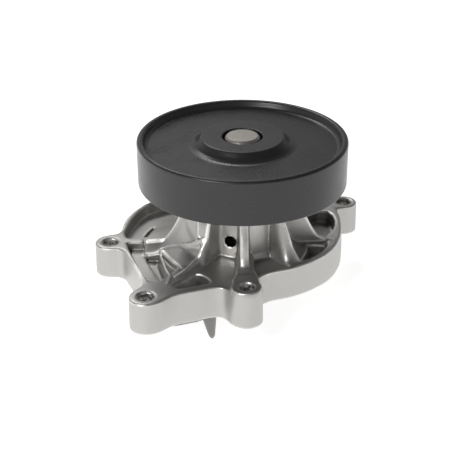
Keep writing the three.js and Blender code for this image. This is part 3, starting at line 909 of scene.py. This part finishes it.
PULLEY_RIM_Z = PULLEY_TOP_Z - 0.8
PULLEY_WEB_Z = PULLEY_RIM_Z - 4.1
PULLEY_WEB_THICKNESS = 3.2
BEARING_BORE_R = 14.3
BEARING_TOP_Z = float(cad_box("bearing_outer_ring")[1][2])
BALL_R = float(np.ptp(np.array(cad_box("ball_front_1")), axis=0)[2]) / 2
BALL_PITCH_R, RACE_R, BALLS_PER_ROW = 12.15, 3.12, 9
BALL_ROWS = {"rear": 44.0, "front": 64.0}


def make_pulley():
    top, low, out = PULLEY_RIM_Z, PULLEY_BOTTOM_Z, PULLEY_R
    under = PULLEY_WEB_Z - PULLEY_WEB_THICKNESS
    inner = out - 4
    profile = [
        (SHAFT_R + GAP, BEARING_TOP_Z + 1, 0.4), (17, BEARING_TOP_Z + 1, 1.5), (20.5, under, 2),
        (inner - 1, under, 3.5), (inner, low, 0.5), (out - 0.2, low, 1.0), (out, top, 1.5),
        (inner + 0.6, top, 1.5), (inner - 0.8, PULLEY_WEB_Z, 2.4), (27.6, PULLEY_WEB_Z, 8.0),
        (23.5, top + 0.8, 1.2), (11.6, top + 0.8, 0.6), (11.3, top - 3.1, 0.3),
        (SHAFT_R + GAP, top - 3.1, 0.2),
    ]
    return turned("pulley_body", profile, steps=192)


def race(centre_z, side, land_r, steps=8):
    """A race groove's arc, from its lower lip up: side is -1 on the shaft and +1 in the bore."""
    half = math.acos(abs(land_r - BALL_PITCH_R) / RACE_R)
    angles = [-half + 2 * half * i / steps for i in range(steps + 1)]
    return [
        (BALL_PITCH_R + side * RACE_R * math.cos(a), centre_z + RACE_R * math.sin(a), 0) for a in angles
    ]


def make_shaft():
    profile = [
        (0, SHAFT_BOTTOM_Z, 0), (SHAFT_R - 1, SHAFT_BOTTOM_Z, 0.2), (SHAFT_R, SHAFT_BOTTOM_Z + 1, 0.2),
        *race(BALL_ROWS["rear"], -1, SHAFT_R), *race(BALL_ROWS["front"], -1, SHAFT_R),
        (SHAFT_R, SHAFT_TOP_Z - 1.2, 0.25), (SHAFT_R - 1.2, SHAFT_TOP_Z, 0.25), (0, SHAFT_TOP_Z, 0),
    ]
    return turned("shaft_turned", profile, steps=96)


def make_bearing_ring():
    profile = [
        (BEARING_BORE_R, BEARING_BOTTOM_Z, 0.3), (BEARING_R, BEARING_BOTTOM_Z, 0.6),
        (BEARING_R, BEARING_TOP_Z, 0.6), (BEARING_BORE_R, BEARING_TOP_Z, 0.3),
        *race(BALL_ROWS["front"], 1, BEARING_BORE_R)[::-1],
        *race(BALL_ROWS["rear"], 1, BEARING_BORE_R)[::-1],
    ]
    return turned("bearing_ring_ground", profile, steps=120)


def lip_seal(name, z, up):
    """A stiffened rubber disc with a raised lip round the shaft."""
    outer = BEARING_BORE_R - GAP
    profile = [
        (SHAFT_R + GAP, z, 0.15), (outer, z, 0.3), (outer, z + 2, 0.3), (12.2, z + 2, 0.25),
        (11.6, z + 1.2, 0.3), (10.9, z + 1.2, 0.25), (SHAFT_R + GAP, z + 1.9, 0.08),
    ]
    if not up:
        profile = [(r, 2 * z + 2 - h, rad) for r, h, rad in profile][::-1]
    return turned(name, profile, steps=96)


def ball_centre(row, i):
    a = 2 * math.pi * i / BALLS_PER_ROW
    return BALL_PITCH_R * math.cos(a), BALL_PITCH_R * math.sin(a), BALL_ROWS[row]


def make_ball(name, row, i):
    """A ground ball, turned from its half circle, carried out to its place in the row."""
    steps = 16
    arc = [math.pi * (k / steps - 0.5) for k in range(steps + 1)]
    ball = turned(
        name, [(BALL_R * max(math.cos(a), 0), BALL_R * math.sin(a), 0) for a in arc], steps=32
    )
    ball.data.transform(Matrix.Translation(Vector(ball_centre(row, i)) * MM))
    return ball


def make_cage(name, row, up):
    """A crown cage: a ring beside the ball row, with an open socket round each ball."""
    z0 = BALL_ROWS[row]
    low, high = (z0 - 1.3, z0 + 4.4) if up else (z0 - 4.4, z0 + 1.3)
    cast = Casting((-14.5, -14.5, low - 1.2), (14.5, 14.5, high + 1.2), CAGE_GRID)

    def ring(x, y, z):
        wall = np.abs(radius(x, y) - BALL_PITCH_R) - 1.25
        return blend_max(wall, np.abs(z - (low + high) / 2) - (high - low) / 2, 0.5)

    cast.add(ring, *EVERYWHERE, fillet=0.01)
    for i in range(BALLS_PER_ROW):
        cx, cy, cz = ball_centre(row, i)
        cast.carve(
            lambda x, y, z: np.sqrt((x - cx) ** 2 + (y - cy) ** 2 + (z - cz) ** 2) - BALL_R - GAP,
            *EVERYWHERE,
            fillet=0.3,
        )
    return object_from(name, *surface_net(cast.value, cast.axes))


present(make_pulley(), "pulley", "rotor", "black_coating")
present(make_shaft(), "pump_shaft", "rotor", "shaft_steel")
present(make_bearing_ring(), "bearing_outer_ring", "housing", "bearing_steel")
for end, z in (("front", BEARING_TOP_Z - 2.6), ("rear", BEARING_BOTTOM_Z + 0.6)):
    seal = lip_seal(f"lip_seal_{end}", z, end == "front")
    present(seal, f"bearing_seal_{end}", "housing", "nitrile_rubber")
for row in ("front", "rear"):
    cage = make_cage(f"crown_cage_{row}", row, row == "front")
    present(cage, f"ball_cage_{row}", f"{row}_ball_row", "nylon_cage")
    for i in range(BALLS_PER_ROW):
        ball = make_ball(f"ground_ball_{row}_{i + 1}", row, i)
        present(ball, f"ball_{row}_{i + 1}", f"{row}_ball_row", "bearing_steel")


# ---- impeller and mechanical seal
IMPELLER_LOW, IMPELLER_HIGH = cad_box("impeller")
IMPELLER_R = 33.0
IMPELLER_PLATE_LOW, IMPELLER_PLATE_TOP = 10.6, float(IMPELLER_HIGH[2])
IMPELLER_BLADE_LOW = float(IMPELLER_LOW[2])
IMPELLER_HUB_R, BLADES, BLADE_SWEEP, BLADE_HALF = 13.6, 7, 48.0, 1.25


def blade_line(turn, steps=8):
    """The middle line of a backward-swept blade, in plan."""
    out = []
    for i in range(steps + 1):
        r = IMPELLER_HUB_R - 1 + (IMPELLER_R - 2.2 - IMPELLER_HUB_R + 1) * i / steps
        a = math.radians(turn + BLADE_SWEEP * i / steps)
        out.append((r * math.cos(a), r * math.sin(a)))
    return out


def make_impeller():
    reach = IMPELLER_R + 1.5
    low, high = (-reach, -reach, IMPELLER_BLADE_LOW - 1.5), (reach, reach, IMPELLER_PLATE_TOP + 1.5)
    cast = Casting(low, high, IMPELLER_GRID)

    def plate_and_hub(x, y, z):
        r = radius(x, y)
        disc = blend_max(r - IMPELLER_R, z - IMPELLER_PLATE_TOP, 0.6)
        disc = blend_max(disc, IMPELLER_PLATE_LOW + 0.3 - z, 0.6)
        middle = blend_max(blend_max(r - IMPELLER_HUB_R, z - IMPELLER_PLATE_TOP, 0.6), 2 - z, 0.8)
        return blend_min(disc, middle, 2.0)

    cast.add(plate_and_hub, *EVERYWHERE, fillet=0.01)
    for k in range(BLADES):
        line = blade_line(360 * k / BLADES)

        def blade(x, y, z):
            side = path_distance(x, y, line) - BLADE_HALF
            side = blend_max(side, IMPELLER_BLADE_LOW - z, 0.8)
            return blend_max(side, z - IMPELLER_PLATE_LOW - 1, 0.5)

        cast.add(blade, *EVERYWHERE, fillet=1.2)
    cast.carve(lambda x, y, z: radius(x, y) - SHAFT_R - GAP + 0 * z, *EVERYWHERE, fillet=0.4)
    return object_from("impeller_pressed", *surface_net(cast.value, cast.axes))


def coil(name, r, wire, low, high, turns, steps=220, sides=10):
    """A round wire wound as a helix, with closed ends."""
    points, faces = [], []
    rise = math.atan2(high - low, 2 * math.pi * r * turns)
    for i in range(steps + 1):
        t = i / steps
        a = 2 * math.pi * turns * t
        out, up = Vector((math.cos(a), math.sin(a), 0)), Vector((0, 0, 1))
        along = Vector((-math.sin(a), math.cos(a), 0))
        cross = up * math.cos(rise) - along * math.sin(rise)
        centre = out * r + up * (low + (high - low) * t)
        shrink = 0.6 if i in (0, steps) else 1.0
        for k in range(sides):
            b = 2 * math.pi * k / sides
            points.append(centre + (out * math.cos(b) + cross * math.sin(b)) * wire * shrink)
    for i in range(steps):
        for k in range(sides):
            k2 = (k + 1) % sides
            faces.append((i * sides + k, i * sides + k2, (i + 1) * sides + k2, (i + 1) * sides + k))
    obj = object_from(name, [tuple(p) for p in points], faces)
    tidy_mesh(obj, cap_sides=sides)
    return obj


SEAL_CASE = [
    (11.2, 24.4, 0.2), (15.9, 24.4, 0.6), (15.9, 15.9, 0.2), (16.7, 15.9, 0.2), (16.7, 25.2, 1.0),
    (11.2, 25.2, 0.2),
]
BELLOWS = [
    (11.3, 20.4, 0.2), (12.8, 20.4, 0.3), (13.6, 21.2, 0.35), (12.8, 22, 0.35), (13.6, 22.8, 0.35),
    (12.9, 23.6, 0.3), (12.9, 24.1, 0.15), (11.3, 24.1, 0.2),
]
CARBON_FACE = [
    (11.4, 17.6, 0.1), (12.6, 17.6, 0.1), (12.8, 18.2, 0.15), (13.6, 18.6, 0.2), (13.6, 20, 0.25),
    (11.4, 20, 0.2),
]
MATING_RING = [(11.7, 14.9, 0.25), (15.6, 14.9, 0.35), (15.6, 17.1, 0.2), (11.7, 17.1, 0.2)]
SEAT_CUP = [
    (10.3, 13.4, 0.2), (16, 13.4, 0.3), (16, 14.5, 0.3), (11.3, 14.5, 0.2), (11.3, 17.2, 0.2),
    (10.9, 17.2, 0.1), (10.9, 23.6, 0.15), (10.3, 23.6, 0.15),
]
SPRING = dict(r=14.75, wire=0.42, low=18.2, high=23.5, turns=3.4)

present(make_impeller(), "impeller", "rotor", "pressed_steel")
present(turned("seal_case_stamped", SEAL_CASE, 96), "seal_case", "housing", "stamped_steel")
present(turned("seal_bellows_moulded", BELLOWS, 96), "seal_bellows", "housing", "nitrile_rubber")
present(turned("seal_carbon_ring", CARBON_FACE, 96), "seal_carbon_face", "housing", "carbon")
present(coil("seal_spring_coil", **SPRING), "seal_spring", "housing", "spring_steel")
present(turned("seal_ceramic_ring", MATING_RING, 96), "seal_mating_ring", "rotor", "ceramic")
present(turned("seal_seat_stamped", SEAT_CUP, 96), "seal_seat_cup", "rotor", "stamped_steel")


# ---- materials
def principled(name, color, roughness, metallic):
    material = bpy.data.materials.new(name)
    material.use_nodes = True
    bsdf = material.node_tree.nodes["Principled BSDF"]
    bsdf.inputs["Base Color"].default_value = (*color, 1)
    bsdf.inputs["Roughness"].default_value = roughness
    bsdf.inputs["Metallic"].default_value = metallic
    return material, material.node_tree, bsdf


def noise(tree, place, size, detail):
    """Noise whose features are about so many millimetres across."""
    node = tree.nodes.new("ShaderNodeTexNoise")
    node.inputs["Scale"].default_value = 1 / (size * MM)
    node.inputs["Detail"].default_value = detail
    tree.links.new(place.outputs["Object"], node.inputs["Vector"])
    return node.outputs[0]


def remap(tree, value, low, high, to_low, to_high):
    node = tree.nodes.new("ShaderNodeMapRange")
    for key, number in zip(("From Min", "From Max", "To Min", "To Max"), (low, high, to_low, to_high)):
        node.inputs[key].default_value = number
    tree.links.new(value, node.inputs["Value"])
    return node.outputs[0]


def arithmetic(tree, operation, a, b):
    node = tree.nodes.new("ShaderNodeMath")
    node.operation = operation
    for socket, value in zip(node.inputs, (a, b)):
        if isinstance(value, (int, float)):
            socket.default_value = value
        else:
            tree.links.new(value, socket)
    return node.outputs[0]


def tint(tree, share, low, high):
    """A colour between two colours."""
    node = tree.nodes.new("ShaderNodeMix")
    node.data_type = "RGBA"
    tree.links.new(share, node.inputs[0])
    for index, color in ((6, low), (7, high)):
        if isinstance(color, tuple):
            node.inputs[index].default_value = (*color, 1)
        else:
            tree.links.new(color, node.inputs[index])
    return node.outputs[2]


def scaled(color, factor):
    return tuple(min(1.0, c * factor) for c in color)


def stored(tree, name):
    node = tree.nodes.new("ShaderNodeAttribute")
    node.attribute_name = name
    return node.outputs["Fac"]


def cut_marks_and_painted_shade(tree, place, base, color):
    """Rough cut metal in the bolt holes, painted shade on the tongue and land below the mounting face,
    and painted shade filling the weep hole.
    """
    split = tree.nodes.new("ShaderNodeSeparateXYZ")
    tree.links.new(place.outputs["Object"], split.inputs[0])
    # Painted shade: the tongue and land below the mounting face darkened, as if shaded by the flange.
    painted_shade_below = remap(tree, split.outputs["Z"], -0.0002, -0.0007, 0, 0.75)
    base = tint(tree, painted_shade_below, base, scaled(color, 0.25))
    cuts = remap(tree, noise(tree, place, 2.4, 1.0), 0.4, 0.6, 0, 1)
    cut_metal = tint(tree, cuts, scaled(color, 0.35), scaled(color, 2.0))
    base = tint(tree, stored(tree, "bored"), base, cut_metal)
    # Painted shade: the weep hole's inside painted near black.
    return tint(tree, stored(tree, "weep_painted_shade"), base, (0.004, 0.004, 0.004))


def finish(name, color, roughness, metallic, grain, patch, relief, mottle, edge_highlight_and_wear=1.35, cover=False):
    """A surface with grain, patches of sheen, painted shade in hollows and a painted highlight, with
    some wear, on edges that are also smoother.
    """
    material, tree, bsdf = principled(name, color, roughness, metallic)
    place = tree.nodes.new("ShaderNodeTexCoord")
    shape = tree.nodes.new("ShaderNodeNewGeometry")
    fine = noise(tree, place, grain, 4.0)
    broad = noise(tree, place, patch, 3.0)
    # Masks: the edge and crest masks carry a painted highlight with some wear; the hollow mask carries
    # painted shade.
    if cover:
        edge = remap(tree, stored(tree, "edge_cover"), 0.45, 0.33, 0, 1)
        edge = arithmetic(tree, "MAXIMUM", edge, stored(tree, "crest"))
        painted_shade = remap(tree, stored(tree, "deep_cover"), 0.58, 0.8, 0, 0.9)
    else:
        edge = remap(tree, shape.outputs["Pointiness"], 0.56, 0.64, 0, 1)
        painted_shade = remap(tree, shape.outputs["Pointiness"], 0.44, 0.36, 0, 0.5)
    edge = arithmetic(tree, "MULTIPLY", edge, remap(tree, broad, 0.3, 0.6, 0.45, 1))
    base = tint(tree, broad, scaled(color, 1 - mottle), scaled(color, 1 + mottle))
    # Painted shade: hollows darkened towards 0.3 of the colour.
    base = tint(tree, painted_shade, base, scaled(color, 0.3))
    # Painted highlight, partly wear: edges and crests lightened by the edge factor.
    base = tint(tree, edge, base, scaled(color, edge_highlight_and_wear))
    if cover:
        base = cut_marks_and_painted_shade(tree, place, base, color)
    tree.links.new(base, bsdf.inputs["Base Color"])
    rough = remap(tree, fine, 0.25, 0.75, roughness * 0.85, roughness * 1.2)
    rough = arithmetic(tree, "ADD", rough, remap(tree, broad, 0.3, 0.7, -0.05, 0.05))
    rough = arithmetic(tree, "SUBTRACT", rough, arithmetic(tree, "MULTIPLY", edge, 0.08))
    tree.links.new(rough, bsdf.inputs["Roughness"])
    bump = tree.nodes.new("ShaderNodeBump")
    bump.inputs["Strength"].default_value = 0.6
    bump.inputs["Distance"].default_value = relief * MM
    tree.links.new(fine, bump.inputs["Height"])
    tree.links.new(bump.outputs[0], bsdf.inputs["Normal"])
    return material


# Each finish: colour, roughness, metallic, grain and patch sizes, relief, mottle, painted edge
# highlight with wear, cover.
LOOKS = {
    "cast_aluminium": ((0.47, 0.46, 0.445), 0.4, 0.9, 0.9, 11, 0.12, 0.09, 1.95, True),
    "black_coating": ((0.015, 0.015, 0.0155), 0.3, 0.0, 0.9, 16, 0.006, 0.12, 1.8),
    "shaft_steel": ((0.4, 0.375, 0.34), 0.36, 0.95, 0.35, 4, 0.012, 0.12, 2.4),
    "pressed_steel": ((0.42, 0.42, 0.42), 0.4, 0.95, 0.6, 8, 0.03, 0.1),
    "bearing_steel": ((0.62, 0.62, 0.63), 0.16, 1.0, 0.3, 5, 0.004, 0.05, 1.2),
    "stamped_steel": ((0.5, 0.5, 0.5), 0.3, 1.0, 0.4, 5, 0.012, 0.08),
    "spring_steel": ((0.4, 0.4, 0.42), 0.28, 1.0, 0.3, 4, 0.01, 0.1),
    "nitrile_rubber": ((0.02, 0.018, 0.017), 0.7, 0.0, 0.4, 4, 0.02, 0.2, 1.8),
    "nylon_cage": ((0.62, 0.56, 0.42), 0.5, 0.0, 0.5, 5, 0.012, 0.08, 1.15),
    "carbon": ((0.03, 0.03, 0.032), 0.45, 0.0, 0.25, 3, 0.008, 0.15, 1.8),
    "ceramic": ((0.8, 0.78, 0.72), 0.22, 0.0, 0.3, 4, 0.004, 0.04, 1.1),
}
FINISHES = {name: finish(name, *look) for name, look in LOOKS.items()}
for piece, slot in PIECES:
    piece.data.materials.clear()
    piece.data.materials.append(FINISHES[slot])


# ---- camera, lights and floor
CAMERA_PLACE = (0, -626.69, 352.31)
CAMERA_LENS = 96
FLOOR_HALF, FLOOR_DROP = 4.0, 0.0006  # metres
CAMERA_YAW, CAMERA_PITCH, CAMERA_ROLL = 0.822138, 4.179981, -0.118  # degrees off the pulley's centre


def make_camera():
    """Pinhole view of the pump from the front, a little above, aimed below the pulley."""
    data = bpy.data.cameras.new("camera")
    data.sensor_width = 36
    data.lens = CAMERA_LENS
    data.clip_start = 0.05
    camera = placed("camera", data)
    place = Vector(CAMERA_PLACE)
    ahead = (Vector((0, 0, PULLEY_RIM_Z)) - place).normalized()
    right = Vector((1, 0, 0))
    axes = Matrix((right, right.cross(ahead), ahead))
    for turn, axis in ((-CAMERA_PITCH, "X"), (CAMERA_YAW, "Y"), (CAMERA_ROLL, "Z")):
        axes = Matrix.Rotation(math.radians(turn), 3, axis) @ axes
    back = Matrix((axes[0], axes[1], -axes[2])).transposed().to_4x4()
    camera.matrix_world = Matrix.Translation(place * MM) @ back
    bpy.context.scene.camera = camera


def area_light(name, place, aim, size, power):
    data = bpy.data.lights.new(name, "AREA")
    data.shape = "RECTANGLE"
    data.size, data.size_y = size
    data.energy = power
    lamp = placed(name, data)
    lamp.location = place
    lamp.rotation_euler = (Vector(aim) - Vector(place)).to_track_quat("-Z", "Y").to_euler()


def make_world():
    """A light tent: pale at the horizon, dimmer overhead and to the right."""
    world = bpy.data.worlds.new("studio")
    bpy.context.scene.world = world
    world.use_nodes = True
    tree = world.node_tree
    background = tree.nodes["Background"]
    place = tree.nodes.new("ShaderNodeTexCoord")
    split = tree.nodes.new("ShaderNodeSeparateXYZ")
    height = tree.nodes.new("ShaderNodeValToRGB")
    for stop, (position, grey) in zip(height.color_ramp.elements, ((0.0, 0.75), (0.6, 0.22))):
        stop.position = position
        stop.color = (grey, grey, grey, 1)
    tree.links.new(place.outputs["Generated"], split.inputs[0])
    tree.links.new(split.outputs["Z"], height.inputs[0])
    tree.links.new(height.outputs[0], background.inputs[0])
    side = remap(tree, split.outputs["X"], -1, 1, 1.15, 0.46)
    tree.links.new(side, background.inputs[1])


def make_floor():
    mesh = bpy.data.meshes.new("floor")
    half, z = FLOOR_HALF, float(CAD_BOX[0].z) - FLOOR_DROP
    mesh.from_pydata(
        [(-half, -half, z), (half, -half, z), (half, half, z), (-half, half, z)], [], [(0, 1, 2, 3)]
    )
    floor = placed("floor", mesh)
    material, tree, bsdf = principled("floor_white", (0.9, 0.9, 0.9), 0.9, 0.0)
    bsdf.inputs["Emission Color"].default_value = (1, 1, 1, 1)
    bsdf.inputs["Emission Strength"].default_value = 0.75
    mesh.materials.append(material)


make_camera()
make_world()
make_floor()
area_light("front_left", (-0.6, -0.85, 0.75), (0, 0, 0.03), (0.45, 0.22), 6.5)
area_light("rear", (-0.4, 1.0, 1.1), (0, 0, 0.04), (0.9, 0.35), 5)
bpy.context.scene.view_settings.view_transform = "Standard"
